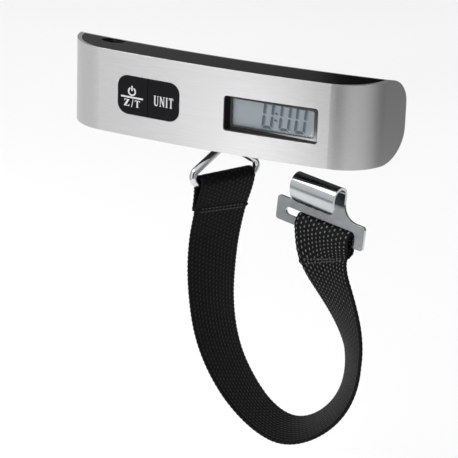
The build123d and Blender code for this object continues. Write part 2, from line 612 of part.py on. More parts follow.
def latch_hook():
    """Sheet-steel hook: slotted plate, and a tongue folded over to the front as a lip."""
    low = -HOOK_BAR / 2
    high = low + HOOK_BAR + HOOK_SLOT + HOOK_TOP
    bend_at = high + TONGUE_RISE
    half = HOOK_W / 2
    with BuildPart() as hook:
        with BuildSketch(Plane.XY):
            with BuildLine():
                Polyline((-half, low), (half, low), (half, high), (TONGUE_W / 2, high), (TONGUE_W / 2, bend_at),
                         (-TONGUE_W / 2, bend_at), (-TONGUE_W / 2, high), (-half, high), close=True)
            make_face()
            corners = vertices()
            fillet([v for v in corners if abs(abs(v.X) - half) < 0.01], PLATE_CORNER_R)
            fillet([v for v in vertices() if abs(abs(v.X) - TONGUE_W / 2) < 0.01 and abs(v.Y - high) < 0.01],
                   SHOULDER_R)
            with Locations((0, low + HOOK_BAR + HOOK_SLOT / 2)):
                SlotOverall(SLOT_W, HOOK_SLOT, mode=Mode.SUBTRACT)
        extrude(amount=HOOK_T / 2, both=True)
        with BuildSketch(Plane.YZ.offset(-TONGUE_W / 2)):
            with BuildLine():
                rise = Line((bend_at - 0.5, 0), (bend_at, 0))
                fold = JernArc(rise @ 1, (1, 0), TONGUE_FOLD_R, 180)
                JernArc(fold @ 1, fold % 1, LIP_R, LIP_DROP / LIP_R * 180 / pi)
                offset(amount=HOOK_T / 2, side=Side.BOTH, kind=Kind.TANGENT)
            make_face()
        extrude(amount=TONGUE_W)
    lip_low = bend_at - LIP_R * sin(LIP_DROP / LIP_R)
    shape = hook.part - lip_corner(-1, lip_low) - lip_corner(1, lip_low)
    bar = unit(HOOK_YAW, HOOK_TILT)
    return Plane(origin=(HOOK_X, HOOK_Y, HOOK_Z), x_dir=bar, z_dir=bar.cross(unit_up())) * shape


def unit_up():
    """In-plane upward direction of the latch hook's plate."""
    return unit(HOOK_YAW, HOOK_TILT + 90)


# ---------------------------------------------------------------- write the pieces
def solids():
    """Every node and its shape; a list of shapes becomes one node of separate solids."""
    frame = inner_frame()
    for post in board_bosses():
        frame += post
    return {
        "front_shell": front_shell(),
        "inner_frame": frame,
        "rear_housing": rear_housing(),
        "battery_door": battery_door(),
        "battery_cell": battery_cell(),
        "battery_holder": battery_holder(),
        "battery_contact_negative": battery_contact_negative(),
        "battery_contact_positive": battery_contact_positive(),
        "lcd_bezel": lcd_bezel(),
        "lcd_lens": lcd_lens(),
        "lcd_panel": lcd_panel(),
        "zebra_connector": zebra_connector(),
        "power_button": button_cap(-1),
        "unit_button": button_cap(1),
        "power_switch": tact_switch(-1),
        "unit_switch": tact_switch(1),
        "circuit_board": circuit_board(),
        "controller_chip": controller_chip(),
        "board_screws": board_screws(),
        "case_screws": case_screws(),
        "load_cell": load_cell(),
        "strain_gauges": strain_gauges(),
        "load_plate": load_plate(),
        "load_cell_screws": load_cell_screws(),
        "bottom_collar": bottom_collar(),
        "pull_stud": pull_stud(),
        "stud_washer": stud_washer(),
        "stud_nut": stud_nut(),
        "ring": ring(),
        "strap_ring_side": strap_ring_side(),
        "strap_hook_side": strap_hook_side(),
        "latch_hook": latch_hook(),
    }


def main():
    os.makedirs("parts", exist_ok=True)
    for node, shape in solids().items():
        if isinstance(shape, list):
            shape = Compound(children=shape)
        export_step(shape, f"parts/{node}.step")


main()
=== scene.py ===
"""Looks of a hand-held digital luggage scale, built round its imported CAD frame.

Metres, +Z up, display side towards -Y. The origin is the middle of the grip bar.
"""
import math

import bmesh
import bpy
import numpy as np
from mathutils import Matrix, Vector
from mathutils.bvhtree import BVHTree


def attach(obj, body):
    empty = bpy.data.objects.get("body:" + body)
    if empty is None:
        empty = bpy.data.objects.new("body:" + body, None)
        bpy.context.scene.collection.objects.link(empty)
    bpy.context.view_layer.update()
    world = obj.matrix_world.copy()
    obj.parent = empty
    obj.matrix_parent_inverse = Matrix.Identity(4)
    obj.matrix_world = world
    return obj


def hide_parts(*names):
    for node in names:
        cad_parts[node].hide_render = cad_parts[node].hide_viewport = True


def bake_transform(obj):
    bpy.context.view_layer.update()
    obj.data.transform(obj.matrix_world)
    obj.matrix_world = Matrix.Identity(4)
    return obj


MM = 0.001

# camera
CAMERA_AZIMUTH, CAMERA_ELEVATION, CAMERA_ROLL = 24.53, 19.83, 1.9    # degrees
CAMERA_AIM = Vector((0.0059, 0.0, -0.0485))
CAMERA_DISTANCE = 0.8616
CAMERA_LENS = 179.8

# stage: cards are (azimuth in degrees, shade) profiles, 0 in front of the display, 90 on its right
FLOOR_Z = -0.2
FLOOR_SIZE = 6.0
WORLD_STRENGTH = 0.95
KEY_PLACE, KEY_AIM = (-0.5, -0.75, 0.8), (0, 0, -0.03)
KEY_SIZE, KEY_POWER = 0.7, 8.0
CARD_STEP = 1.0          # degrees between the shades of a card
BODY_CARD_R, BODY_CARD_Z = 0.3, (-0.13, 0.2)
BODY_SHADES = [(-125, 0.7), (-80, 0.6), (-52, 0.6), (-40, 0.78), (-28, 0.93), (-18, 1.05), (-9, 1.15),
               (-5, 0.5), (-1, 0.1), (4, 0.0), (16, 0.0), (25, 0.15), (35, 0.4), (48, 0.44), (72, 0.42),
               (90, 0.28), (106, 0.12), (124, 0.1), (140, 0.25)]
LOW_CARD_Z = (-0.2, -0.135)
LOW_SHADES = [(-85, 0.5), (-60, 0.36), (-38, 0.36), (-20, 0.6)]
BACK_CARD_R, BACK_CARD_Z = 0.45, (0.04, 0.4)
BACK_SHADES = [(140, 0.25), (160, 0.05), (190, 0.01), (196, 0.01), (198, 0.13), (216, 0.22), (262, 0.4)]
TOP_CARD = (-0.6, 0.4), (0.03, 0.15), 0.5    # x, y, z of the dark strip overhead
TOP_SHADE = 0.04
GLINT_CARD = (-0.088, -0.0615), -0.261, (-0.0985, -0.0938)    # a strip mirrored in the ledge of the bezel
GLINT_SHADES = 8.0, 44.0                     # at its left and right ends

# webbing, as in the CAD part (millimetres): centre line in the plane y = STRAP_Y, as (x, z, yaw of its width)
STRAP_Y = 4.0
STRAP_ROUTE = [(1.6, -30.3, 62), (-1.4, -51, 64), (-2.6, -70, 70), (-0.5, -90, 78), (10.5, -113.5, 88),
               (31, -127, 100), (50.5, -115, 112), (56.8, -91.5, 125), (48.2, -67, 150), (41, -53, 163),
               (41, -44, 166)]
HOOK_YAW, HOOK_TILT = -14.0, -5.0
STRAP_W, STRAP_T = 25.0, 1.4
SEAM = 11.6              # the sewn line, from the bar that the end is folded round
HEM_END = 12.6           # the cut edge behind the seam
SLIDE = -2.6             # how far the webbing sits off the middle of the hook's bar
SLIDE_RUN, SLIDE_END = 34.0, 5.0    # distances from that bar over which it slides out there
RING_FOLD = (2.4, 2.5)   # half depth and height of the fold round the ring's wire, at mid thickness
HOOK_FOLD = (2.5, 3.8)   # and round the hook's flat bar
PLY_GAP = 0.03           # air between the two plies of a hem
YARN_W, YARN_L = 1.85, 1.72    # pitch of the weave across and along the webbing
YARN_RISE = 0.11         # how far each float stands out of the weave
PAINTED_HIGHLIGHT_RUN = (26.0, 66.0)    # painted highlight on its floats: full from the hook's cut edge to the first distance, faded out by the second
SELVEDGE = 0.55          # how far the rounded edge tapers in
SELVEDGE_THIN = 0.18     # its thickness at the very edge, as a share of the rest
STATION = 0.43           # spacing of the sections along the webbing
FRAME_STEP = 0.6         # reach of the difference that gives its direction
COLUMNS = 68             # faces across one side of the webbing
FOLD_STEPS = 19          # sections round a fold
FOLD_TAPER = 1.15        # power with which the front ply closes in from a fold to the seam
WEFT_RIPPLE, SLACK_RIPPLE = 0.011, 0.004    # how its width wavers, as shares
SLACK_RATE = 0.23        # radians of the slow waver per millimetre
SEAM_SPREAD = 0.7        # how far a seam's pull reaches along the webbing
SEAM_PULL, SEAM_BULGE = 0.045, 0.3    # how much wider (share) and prouder it makes the front ply
CUT_THIN, CUT_RATE = 0.55, 1.1        # thickness at a cut edge, and its growth per millimetre from there
BAR_TACK = (-0.5, 0.7)   # the two rows of stitches, from the seam
STITCH_PITCH, STITCH_SHARE = 1.7, 0.4       # spacing, and half of a stitch's length as a share of it
STITCH_INSET = 2.2       # from the selvedge to the first stitch
STITCH_R, STITCH_SIDES = 0.27, 8
STITCH_PROFILE = [(-1, 0.2), (-0.8, 0.7), (-0.45, 1), (0.45, 1), (0.8, 0.7), (1, 0.2)]    # (along, thickness)
STITCH_SINK = 1.2        # how steeply its ends dive into the webbing
STITCH_FRONT, STITCH_BACK = STRAP_T / 2 + 0.2, -(1.5 * STRAP_T + PLY_GAP)    # offsets of the rows

# display digits, on the glass (millimetres)
DIGIT_LEFTS = (19.4, 26.2, 32.4)
DIGIT_W, DIGIT_H = 4.3, 10.2
DIGIT_LOW_Z = -5.1
DIGIT_SLANT = 0.09
SEGMENT_W = 1.0
SEGMENT_GAP = 0.12
SEGMENT_TIP, SEGMENT_MITRE, SEGMENT_POINT = 0.2, 0.9, 0.45    # cuts at its ends, as shares of its width
COLON, COLON_R = ((25.2, 1.0), (25.0, -1.6)), 0.45
DISPLAY_PROUD = 0.03     # height of the lit marks above the glass
SHADOW_PROUD = 0.01      # and of their shadow on the reflector behind them
DIGIT_SHADOW = (0.45, -0.2)
PRINT_SINK = 0.01        # how far the back of any mark reaches into what it lies on

# printed marks, on the keys (millimetres)
PRINT_PROUD = 0.035
POWER_X, POWER_Z = -32.2, 1.5
POWER_R0, POWER_R1 = 1.75, 1.15
POWER_OPEN_DEG = 28      # half of the ring's opening
POWER_STEPS = 26
STEM_HALF, STEM_LOW, STEM_TOP = 0.3, 1.75, 3.7
BAR_X, BAR_Z = (-36.9, -27.4), (-1.12, -0.48)
ZERO_TARE = (("Z", -34.4, 3.1), ("/", -32.0, 3.0), ("T", -29.8, 3.5))    # letter, x, width
ZERO_TARE_Z, ZERO_TARE_H = -4.35, 2.7
UNIT = (("U", -21.75, 2.9), ("N", -19.25, 3.1), ("I", -17.35, 2.9), ("T", -15.55, 2.9))
UNIT_Z, UNIT_H = -2.35, 3.9
SERIF = 0.055            # thickness of a serif, as a share of the letter's height

# finishes (metres)
BRUSH_DEPTH = 1.5e-6
COVER_EDGE, MOULDED_EDGE, PLATED_EDGE = 2.5e-4, 2.5e-4, 2.0e-4    # radii that edges are rounded by
MARK_DEPTH = 1.2e-6      # handling marks in plating
WEAVE_DEPTH = 2.2e-4
TWIST_DEPTH = 5e-5       # plies of the sewing thread
TRACK_DEPTH = 3e-5       # copper under the solder mask
LAYER_PITCH = 4e-4       # of the zebra strip


# ---------------------------------------------------------------- materials
class Look:
    """A Principled material, varied by nodes, whose plain values sit on its sockets."""

    def __init__(self, name, colour, roughness, metallic=0.0, **fixed):
        self.material = bpy.data.materials.new(name)
        self.material.use_nodes = True
        self.tree = self.material.node_tree
        self.shader = self.tree.nodes["Principled BSDF"]
        self.shader.inputs["Base Color"].default_value = (*colour, 1)
        self.shader.inputs["Roughness"].default_value = roughness
        self.shader.inputs["Metallic"].default_value = metallic
        for socket, value in fixed.items():
            self.shader.inputs[socket.replace("_", " ")].default_value = value
        self.space = None

    def node(self, kind, **settings):
        made = self.tree.nodes.new(kind)
        for key, value in settings.items():
            setattr(made, key, value)
        return made

    def link(self, source, target):
        self.tree.links.new(source, target)

    def object_space(self):
        if self.space is None:
            self.space = self.node("ShaderNodeTexCoord").outputs["Object"]
        return self.space

    def noise(self, scale, stretch=(1, 1, 1), detail=3.0):
        """Noise in the object's own space, scale in features per metre."""
        mapping = self.node("ShaderNodeMapping")
        mapping.inputs["Scale"].default_value = stretch
        texture = self.node("ShaderNodeTexNoise")
        texture.inputs["Scale"].default_value = scale
        texture.inputs["Detail"].default_value = detail
        self.link(self.object_space(), mapping.inputs["Vector"])
        self.link(mapping.outputs["Vector"], texture.inputs["Vector"])
        return texture.outputs["Fac"]

    def math(self, operation, a, b=None):
        made = self.node("ShaderNodeMath", operation=operation)
        for socket, value in zip(made.inputs, (a, b)):
            if isinstance(value, (int, float)):
                socket.default_value = value
            elif value is not None:
                self.link(value, socket)
        return made.outputs["Value"]

    def wave(self, value, pitch):
        """A cosine of value with the given pitch."""
        return self.math("COSINE", self.math("MULTIPLY", value, 2 * math.pi / pitch))

    def spread(self, value, low, high, start=0.3, stop=0.7):
        """value's range start..stop stretched to low..high."""
        made = self.node("ShaderNodeMapRange")
        for socket, number in zip(("From Min", "From Max", "To Min", "To Max"), (start, stop, low, high)):
            made.inputs[socket].default_value = number
        self.link(value, made.inputs["Value"])
        return made.outputs["Result"]

    def tint(self, factor, low, high):
        """Base colour that goes from low to high with factor."""
        mix = self.node("ShaderNodeMix", data_type="RGBA")
        start, end = (socket for socket in mix.inputs if socket.type == "RGBA")
        start.default_value = (*low, 1)
        end.default_value = (*high, 1)
        self.link(factor, mix.inputs["Factor"])
        colour = next(socket for socket in mix.outputs if socket.type == "RGBA")
        self.link(colour, self.shader.inputs["Base Color"])

    def polish(self, factor, low, high):
        """Roughness that goes from low to high with factor."""
        self.link(self.spread(factor, low, high), self.shader.inputs["Roughness"])

    def relief(self, height, depth, rounded=0.0):
        """Bump of a real depth in metres, over edges rounded by a radius."""
        bump = self.node("ShaderNodeBump")
        bump.inputs["Distance"].default_value = depth
        self.link(height, bump.inputs["Height"])
        if rounded:
            bevel = self.node("ShaderNodeBevel", samples=4)
            bevel.inputs["Radius"].default_value = rounded
            self.link(bevel.outputs["Normal"], bump.inputs["Normal"])
        self.link(bump.outputs["Normal"], self.shader.inputs["Normal"])


def brushed_metal():
    """Satin sheet metal brushed along the grip bar."""
    look = Look("brushed_cover", (0.74, 0.74, 0.75), 0.32, 1.0, Anisotropic=0.3)
    fine = look.noise(420, (0.03, 8, 8), 3)
    broad = look.noise(22, (1, 1, 1), 2)
    look.tint(look.spread(fine, 0, 1, 0.35, 0.65), (0.735, 0.735, 0.74), (0.775, 0.775, 0.78))
    look.polish(look.math("ADD", look.math("MULTIPLY", fine, 0.7), look.math("MULTIPLY", broad, 0.3)),
                0.31, 0.37)
    tangent = look.node("ShaderNodeTangent", direction_type="RADIAL", axis="Z")
    look.link(tangent.outputs["Tangent"], look.shader.inputs["Tangent"])
    look.relief(fine, BRUSH_DEPTH, COVER_EDGE)
    return look.material


def moulded(name, dark, light, roughness, grain, depth, **fixed):
    """Moulded plastic with a fine spark-eroded grain."""
    look = Look(name, dark, roughness, **fixed)
    grains = look.noise(grain, (1, 1, 1), 2)
    clouds = look.noise(35, (1, 1, 1), 3)
    look.tint(look.spread(clouds, 0, 1, 0.3, 0.7), dark, light)
    look.polish(look.math("ADD", look.math("MULTIPLY", grains, 0.4), look.math("MULTIPLY", clouds, 0.6)),
                roughness * 0.86, roughness * 1.16)
    look.relief(grains, depth, MOULDED_EDGE)
    return look.material


def plated(name, low, high, roughness, wipe=(1, 1, 1)):
    """Bright metal with faint handling marks."""
    look = Look(name, low, roughness, 1.0)
    marks = look.noise(420, wipe, 4)
    clouds = look.noise(60, (1, 1, 1), 2)
    look.tint(look.spread(clouds, 0, 1, 0.3, 0.7), low, high)
    look.polish(look.math("ADD", look.math("MULTIPLY", marks, 0.5), look.math("MULTIPLY", clouds, 0.5)),
                roughness * 0.75, roughness * 1.35)
    look.relief(marks, MARK_DEPTH, PLATED_EDGE)
    return look.material


def webbing():
    """Coarse plain-woven polypropylene, by the mesh's "weave" map: across, and back from the hook's end; its
    floats carry a painted highlight near the hook's end.
    """
    look = Look("woven_webbing", (0.012, 0.012, 0.013), 0.5, Specular_IOR_Level=0.13)
    across_along = look.node("ShaderNodeUVMap", uv_map="weave")
    split = look.node("ShaderNodeSeparateXYZ")
    look.link(across_along.outputs["UV"], split.inputs["Vector"])
    warp = look.wave(split.outputs["X"], YARN_W * MM)
    weft = look.wave(split.outputs["Y"], YARN_L * MM)
    turn = look.math("SIGN", look.wave(split.outputs["X"], 2 * YARN_W * MM))
    column = look.spread(warp, 0, 1, -0.1, 1.0)
    over = look.math("MULTIPLY", column, look.spread(look.math("MULTIPLY", weft, turn), 0, 1, -0.6, 0.7))
    fibre = look.noise(2600, (1, 1, 1), 2)
    fade = look.noise(520, (1, 1, 1), 2)
    # painted highlight: the float tops are lighter in the colour, fully near the hook's end and fading out
    # along the webbing
    crown = look.spread(over, 0, 1, 0.3, 1.0)
    painted_highlight = look.spread(split.outputs["Y"], 1.0, 0.022, *(v * MM for v in PAINTED_HIGHLIGHT_RUN))
    shade = look.math("MULTIPLY", look.math("MULTIPLY", crown, painted_highlight), look.spread(fade, 0.35, 1.0))
    look.tint(shade, (0.0018, 0.0023, 0.0023), (0.19, 0.20, 0.20))
    look.polish(look.math("SUBTRACT", 1.0, crown), 0.36, 0.62)
    height = look.math("ADD", look.math("MULTIPLY", over, 0.8), look.math("MULTIPLY", fibre, 0.2))
    look.relief(height, WEAVE_DEPTH)
    return look.material


def thread():
    """Bonded sewing thread."""
    look = Look("black_thread", (0.02, 0.02, 0.022), 0.45, Sheen_Weight=0.2, Sheen_Roughness=0.4)
    twist = look.noise(3200, (1, 2, 1), 1)
    look.tint(look.spread(twist, 0, 1, 0.35, 0.65), (0.012, 0.012, 0.013), (0.045, 0.045, 0.048))
    look.relief(twist, TWIST_DEPTH)
    return look.material


def clear_window():
    """Hard clear sheet: it lets light through, and shines more at a shallow angle."""
    look = Look("clear_sheet", (0.9, 0.95, 0.95), 0.06)
    smear = look.noise(90, (1, 3, 1), 3)
    clear = look.node("ShaderNodeBsdfTransparent")
    clear.inputs["Color"].default_value = (0.985, 0.995, 1.0, 1)
    gloss = look.node("ShaderNodeBsdfGlossy")
    look.link(look.spread(smear, 0.03, 0.1), gloss.inputs["Roughness"])
    fresnel = look.node("ShaderNodeFresnel")
    fresnel.inputs["IOR"].default_value = 1.45
    mix = look.node("ShaderNodeMixShader")
    look.link(fresnel.outputs["Fac"], mix.inputs[0])
    look.link(clear.outputs["BSDF"], mix.inputs[1])
    look.link(gloss.outputs["BSDF"], mix.inputs[2])
    look.link(mix.outputs["Shader"], look.tree.nodes["Material Output"].inputs["Surface"])
    look.tree.nodes.remove(look.shader)
    return look.material


def fine_look(name, low, high, roughness, metallic=0.0, scale=300.0, stretch=(1, 1, 1), depth=1e-5, **fixed):
    """A small part's finish: colour and gloss that vary with one noise."""
    look = Look(name, low, roughness, metallic, **fixed)
    grain = look.noise(scale, stretch, 3)
    look.tint(look.spread(grain, 0, 1), low, high)
    look.polish(grain, roughness * 0.8, roughness * 1.2)
    look.relief(grain, depth)
    return look.material


def laminate():
    """Green solder mask with copper tracks showing through as ridges."""
    look = Look("green_laminate", (0.01, 0.12, 0.05), 0.35)
    tracks = look.noise(240, (1, 1, 4), 0)
    edge = look.spread(look.math("PINGPONG", look.math("MULTIPLY", tracks, 7.0), 1.0), 0, 1, 0.42, 0.52)
    look.tint(edge, (0.008, 0.10, 0.04), (0.02, 0.19, 0.07))
    look.polish(edge, 0.3, 0.42)
    look.relief(edge, TRACK_DEPTH)
    return look.material


def zebra():
    """Elastomer strip: thin conducting layers across its length."""
    look = Look("striped_elastomer", (0.05, 0.05, 0.05), 0.6)
    split = look.node("ShaderNodeSeparateXYZ")
    look.link(look.object_space(), split.inputs["Vector"])
    layers = look.wave(split.outputs["X"], LAYER_PITCH)
    look.tint(look.spread(layers, 0, 1, -0.2, 0.2), (0.02, 0.02, 0.02), (0.35, 0.12, 0.13))
    return look.material


def make_materials():
    """Every finish of the record, by its material slot."""
    return {
        "cover_metal": brushed_metal(),
        "black_plastic": moulded(
            "satin_black", (0.0018, 0.0018, 0.0017), (0.0028, 0.0028, 0.0027), roughness=0.12, grain=2600,
            depth=2e-6, Specular_IOR_Level=0.4),
        "bezel_plastic": moulded(
            "gloss_black", (0.006, 0.006, 0.0065), (0.011, 0.011, 0.012), roughness=0.08, grain=900,
            depth=5e-7),
        "button_plastic": moulded(
            "button_black", (0.0035, 0.0035, 0.0048), (0.0055, 0.0055, 0.007), roughness=0.42, grain=2200,
            depth=7e-6, Specular_IOR_Level=0.12),
        "clear_window": clear_window(),
        "display_glass": fine_look(
            "lcd_glass", (0.68, 0.73, 0.77), (0.73, 0.78, 0.82), 0.32, scale=60, depth=2e-6,
            Specular_IOR_Level=0.2),
        "zebra_rubber": zebra(),
        "switch_plastic": moulded(
            "switch_grey", (0.05, 0.05, 0.052), (0.08, 0.08, 0.083), roughness=0.45, grain=1800, depth=1e-5),
        "board_laminate": laminate(),
        "potting_resin": moulded(
            "black_resin", (0.01, 0.01, 0.01), (0.02, 0.02, 0.02), roughness=0.22, grain=500, depth=2e-5),
        "screw_steel": plated("zinc_screw", (0.42, 0.42, 0.41), (0.55, 0.55, 0.53), 0.28),
        "battery_steel": plated("cell_steel", (0.55, 0.55, 0.54), (0.66, 0.66, 0.65), 0.24, wipe=(1, 1, 6)),
        "contact_brass": plated("spring_brass", (0.56, 0.40, 0.16), (0.70, 0.52, 0.24), 0.26, wipe=(6, 1, 1)),
        "load_cell_aluminium": plated(
            "milled_aluminium", (0.58, 0.58, 0.59), (0.70, 0.70, 0.71), 0.34, wipe=(1, 1, 8)),
        "gauge_foil": fine_look(
            "amber_foil", (0.45, 0.24, 0.05), (0.62, 0.36, 0.10), 0.3, metallic=0.2, scale=900,
            stretch=(1, 5, 1)),
        "plate_steel": plated("rolled_plate", (0.40, 0.40, 0.41), (0.52, 0.52, 0.53), 0.33, wipe=(1, 8, 1)),
        "stud_steel": plated("turned_steel", (0.50, 0.50, 0.51), (0.62, 0.62, 0.63), 0.2, wipe=(1, 1, 9)),
        "ring_chrome": plated("ring_plating", (0.58, 0.60, 0.62), (0.70, 0.715, 0.735), 0.11),
        "hook_chrome": plated("hook_plating", (0.50, 0.53, 0.545), (0.60, 0.63, 0.645), 0.17, wipe=(1, 1, 2)),
        "black_webbing": webbing(),
    }


# ---------------------------------------------------------------- mesh helpers
def mesh_object(name, points, faces, material, smooth=False):
    mesh = bpy.data.meshes.new(name)
    mesh.from_pydata([tuple(p) for p in points], [], [tuple(f) for f in faces])
    mesh.update()
    if smooth:
        mesh.shade_smooth()
    mesh.materials.append(material)
    piece = bpy.data.objects.new(name, mesh)
    bpy.context.scene.collection.objects.link(piece)
    return piece


def outline_plates(name, outlines, height, material):
    """Thin solid plates from flat (x, z) outlines in millimetres, their fronts at y = -height."""
    shape = bmesh.new()
    for outline in outlines:
        face = shape.faces.new([shape.verts.new((x * MM, 0, z * MM)) for x, z in outline])
        walls = bmesh.ops.extrude_face_region(shape, geom=[face])
        moved = [v for v in walls["geom"] if isinstance(v, bmesh.types.BMVert)]
        bmesh.ops.translate(shape, verts=moved, vec=(0, -height * MM, 0))
    bmesh.ops.triangulate(shape, faces=[f for f in shape.faces if len(f.verts) > 4])
    bmesh.ops.recalc_face_normals(shape, faces=shape.faces)
    mesh = bpy.data.meshes.new(name)
    shape.to_mesh(mesh)
    shape.free()
    mesh.materials.append(material)
    piece = bpy.data.objects.new(name, mesh)
    bpy.context.scene.collection.objects.link(piece)
    return piece


def outward(mesh):
    """Turns every face of a closed mesh outwards."""
    shape = bmesh.new()
    shape.from_mesh(mesh)
    bmesh.ops.recalc_face_normals(shape, faces=shape.faces)
    shape.to_mesh(mesh)
    shape.free()


def press_onto(piece, node):
    """Lays a flat piece on the node's front face, its back (y = 0) a little inside, its front proud."""
    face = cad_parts[node].data
    target = BVHTree.FromPolygons([v.co for v in face.vertices], [p.vertices for p in face.polygons])
    for v in piece.data.vertices:
        hit = target.ray_cast(Vector((v.co.x, -1, v.co.z)), Vector((0, 1, 0)))[0]
        is_back = v.co.y > -1e-7
        v.co.y += hit.y + (PRINT_SINK * MM if is_back else 0)
    piece.data.update()


# ---------------------------------------------------------------- camera, stage and light
def add_camera():
    azimuth, elevation, roll = (math.radians(a) for a in (CAMERA_AZIMUTH, CAMERA_ELEVATION, CAMERA_ROLL))
    back = Vector((math.sin(azimuth) * math.cos(elevation), -math.cos(azimuth) * math.cos(elevation),
                   math.sin(elevation)))
    level = Vector((math.cos(azimuth), math.sin(azimuth), 0))
    rise = back.cross(level)
    right = level * math.cos(roll) + rise * math.sin(roll)
    up = rise * math.cos(roll) - level * math.sin(roll)
    data = bpy.data.cameras.new("camera")
    data.lens = CAMERA_LENS
    data.clip_start = 0.01
    camera = bpy.data.objects.new("camera", data)
    camera.matrix_world = Matrix((right, up, back)).transposed().to_4x4()
    camera.location = CAMERA_AIM + back * CAMERA_DISTANCE
    bpy.context.scene.collection.objects.link(camera)
    bpy.context.scene.camera = camera


def add_floor():
    half = FLOOR_SIZE / 2
    look = Look("pale_floor", (0.86, 0.86, 0.86), 0.75, Specular_IOR_Level=0.1)
    look.tint(look.spread(look.noise(3, (1, 1, 1), 2), 0, 1), (0.85, 0.85, 0.85), (0.88, 0.88, 0.88))
    floor = mesh_object("floor", [(-half, -half, FLOOR_Z), (half, -half, FLOOR_Z), (half, half, FLOOR_Z),
                                  (-half, half, FLOOR_Z)], [(0, 1, 2, 3)], look.material)


def add_card(name, profile, radius, heights):
    """A curved studio card that only reflections see, shaded along its length by a profile."""
    azimuths = np.arange(profile[0][0], profile[-1][0] + CARD_STEP / 2, CARD_STEP)
    shades = np.interp(azimuths, [p[0] for p in profile], [p[1] for p in profile])
    points = []
    for azimuth in np.radians(azimuths):
        x, y = radius * math.sin(azimuth), -radius * math.cos(azimuth)
        points += [(x, y, z) for z in heights]
    faces = [(2 * i, 2 * i + 2, 2 * i + 3, 2 * i + 1) for i in range(len(azimuths) - 1)]
    shaded_card(name, points, faces, np.repeat(shades, 2))


def shaded_card(name, points, faces, shades):
    """A card with a shade at each point, seen by reflections alone."""
    material = bpy.data.materials.new(name)
    material.use_nodes = True
    tree = material.node_tree
    tree.nodes.remove(tree.nodes["Principled BSDF"])
    glow = tree.nodes.new("ShaderNodeEmission")
    shade = tree.nodes.new("ShaderNodeAttribute")
    shade.attribute_name = "shade"
    tree.links.new(shade.outputs["Color"], glow.inputs["Color"])
    tree.links.new(glow.outputs["Emission"], tree.nodes["Material Output"].inputs["Surface"])
    card = mesh_object(name, points, faces, material)
    layer = card.data.color_attributes.new("shade", "FLOAT_COLOR", "POINT")
    for i, value in enumerate(shades):
        layer.data[i].color = (value, value, value, 1)
    card.visible_camera = card.visible_diffuse = card.visible_shadow = card.visible_transmission = False


def add_key_light():
    data = bpy.data.lights.new("key", "AREA")
    data.shape = "RECTANGLE"
    data.size = data.size_y = KEY_SIZE
    data.energy = KEY_POWER
    light = bpy.data.objects.new("key", data)
    light.location = KEY_PLACE
    light.rotation_euler = (Vector(KEY_AIM) - Vector(KEY_PLACE)).to_track_quat("-Z", "Y").to_euler()
    light.visible_camera = False
    bpy.context.scene.collection.objects.link(light)


def add_studio():
    scene = bpy.context.scene
    scene.view_settings.view_transform = "Standard"
    world = bpy.data.worlds.new("studio")
    world.use_nodes = True
    world.node_tree.nodes["Background"].inputs["Color"].default_value = (1, 1, 1, 1)
    world.node_tree.nodes["Background"].inputs["Strength"].default_value = WORLD_STRENGTH
    scene.world = world
    add_floor()
    add_key_light()
    add_card("card_body", BODY_SHADES, BODY_CARD_R, BODY_CARD_Z)
    add_card("card_low", LOW_SHADES, BODY_CARD_R, LOW_CARD_Z)
    add_card("card_back", BACK_SHADES, BACK_CARD_R, BACK_CARD_Z)
    (x0, x1), y, (z0, z1) = GLINT_CARD
    left, right = GLINT_SHADES
    shaded_card("card_glint", [(x0, y, z0), (x1, y, z0), (x1, y, z1), (x0, y, z1)], [(0, 1, 2, 3)],
                [left, right, right, left])
    (x0, x1), (y0, y1), z = TOP_CARD
    shaded_card("card_top", [(x0, y0, z), (x1, y0, z), (x1, y1, z), (x0, y1, z)], [(0, 1, 2, 3)],
                [TOP_SHADE] * 4)


# ---------------------------------------------------------------- webbing strap
def clamped_spline(points, first, last):
    """Cubic spline through points with given end directions, as its knots and a function place(t)."""
    points = np.array(points, float)
    knots = np.concatenate([[0], np.cumsum(np.linalg.norm(np.diff(points, axis=0), axis=1))])
    gap = np.diff(knots)
    count = len(points)
    system = np.zeros((count, count))
    target = np.zeros((count, points.shape[1]))
    system[0, 0] = system[-1, -1] = 1
    target[0], target[-1] = first, last
    for i in range(1, count - 1):
        system[i, i - 1] = gap[i]
        system[i, i] = 2 * (gap[i - 1] + gap[i])
        system[i, i + 1] = gap[i - 1]
        target[i] = 3 * (gap[i] * (points[i] - points[i - 1]) / gap[i - 1]
                         + gap[i - 1] * (points[i + 1] - points[i]) / gap[i])
    slopes = np.linalg.solve(system, target)

    def place(t):
        i = np.clip(np.searchsorted(knots, t) - 1, 0, count - 2)
        h = gap[i]
        s = (t - knots[i]) / h
        return ((2 * s**3 - 3 * s**2 + 1) * points[i] + (s**3 - 2 * s**2 + s) * h * slopes[i]
                + (3 * s**2 - 2 * s**3) * points[i + 1] + (s**3 - s**2) * h * slopes[i + 1])
    return knots, place


